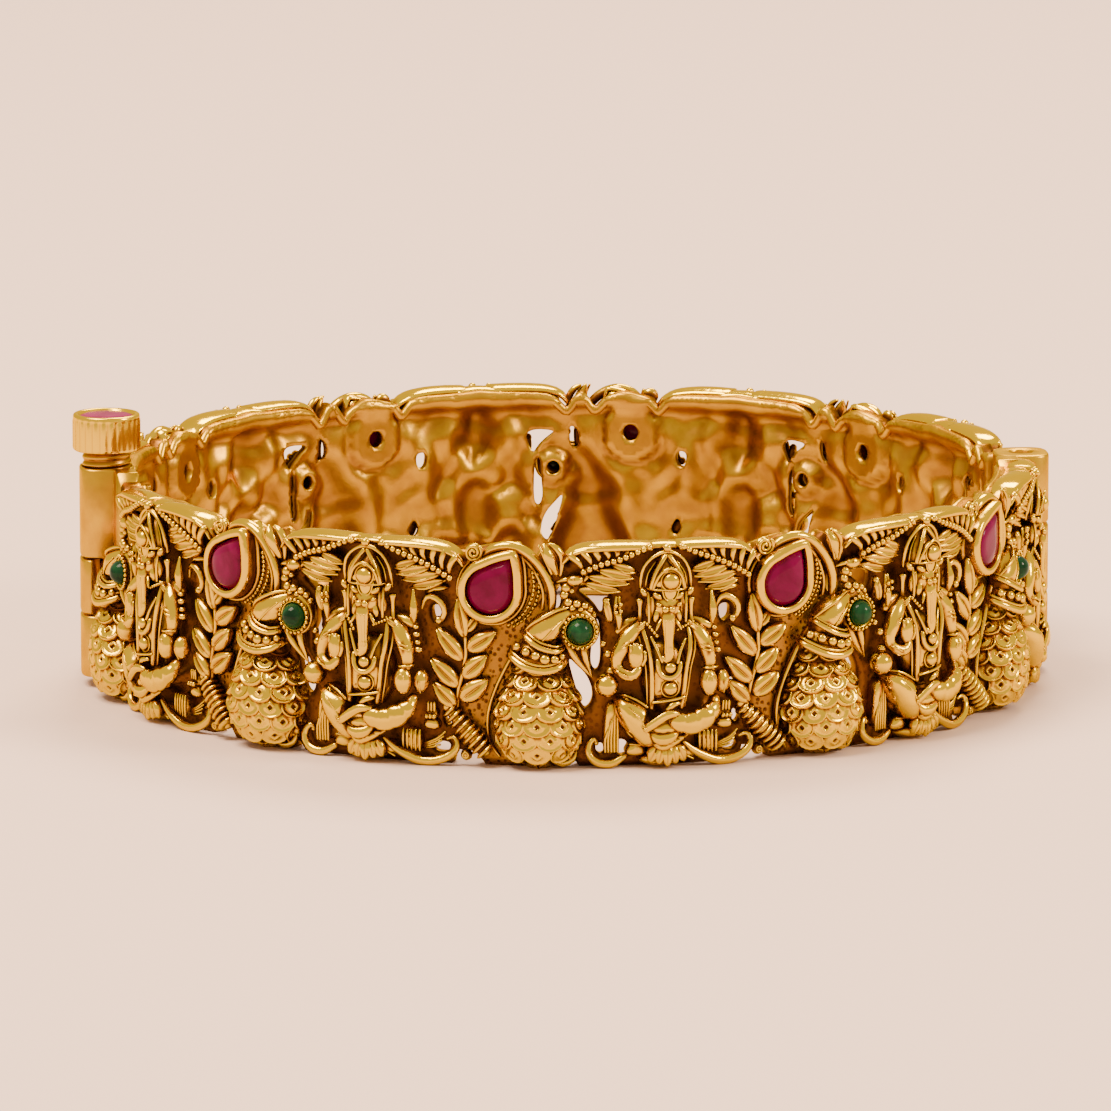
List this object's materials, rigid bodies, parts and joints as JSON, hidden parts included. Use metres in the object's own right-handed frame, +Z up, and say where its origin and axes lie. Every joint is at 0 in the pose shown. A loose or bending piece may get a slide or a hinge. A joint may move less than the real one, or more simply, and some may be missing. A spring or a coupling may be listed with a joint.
{
  "type": "kada bangle",
  "caption": "Openable gold temple bangle with an openwork band of seated figures and peacocks, red and green stones, a hinge and a screw clasp.",
  "frame": {"origin": "centre of the ring on the surface that its lower rim rests on", "axes": "+Z up along the ring's axis, +X towards the hinge side, -Y towards the viewer of the picture"},
  "size_m": [0.0692, 0.0688, 0.0193],
  "materials": {
    "gold": "antique gold plating with dark recesses",
    "ruby": "polished",
    "emerald": "polished cabochon"
  },
  "bodies": {
    "front_half": {"front_band": "gold", "hinge_pin": "gold", "ruby_1": "ruby", "ruby_2": "ruby", "ruby_3": "ruby", "ruby_4": "ruby", "emerald_1": "emerald", "emerald_2": "emerald", "emerald_3": "emerald", "emerald_4": "emerald", "emerald_5": "emerald"},
    "back_half": {"back_band": "gold", "ruby_5": "ruby", "ruby_6": "ruby", "ruby_7": "ruby", "ruby_8": "ruby", "emerald_6": "emerald", "emerald_7": "emerald", "emerald_8": "emerald", "emerald_9": "emerald", "emerald_10": "emerald"},
    "screw": {"clasp_screw": "gold", "knob_stone": "ruby"}
  },
  "joints": [
    {"name": "hinge", "type": "hinge", "parent": "front_half", "child": "back_half", "pos_m": [0.03218, 0.00276, 0], "axis": [0, 0, -1], "range_deg": [0, 75]},
    {"name": "screw_lift", "type": "slide", "parent": "front_half", "child": "screw", "axis": [0, 0, 1], "range_m": [-0.00105, 0.013]}
  ]
}
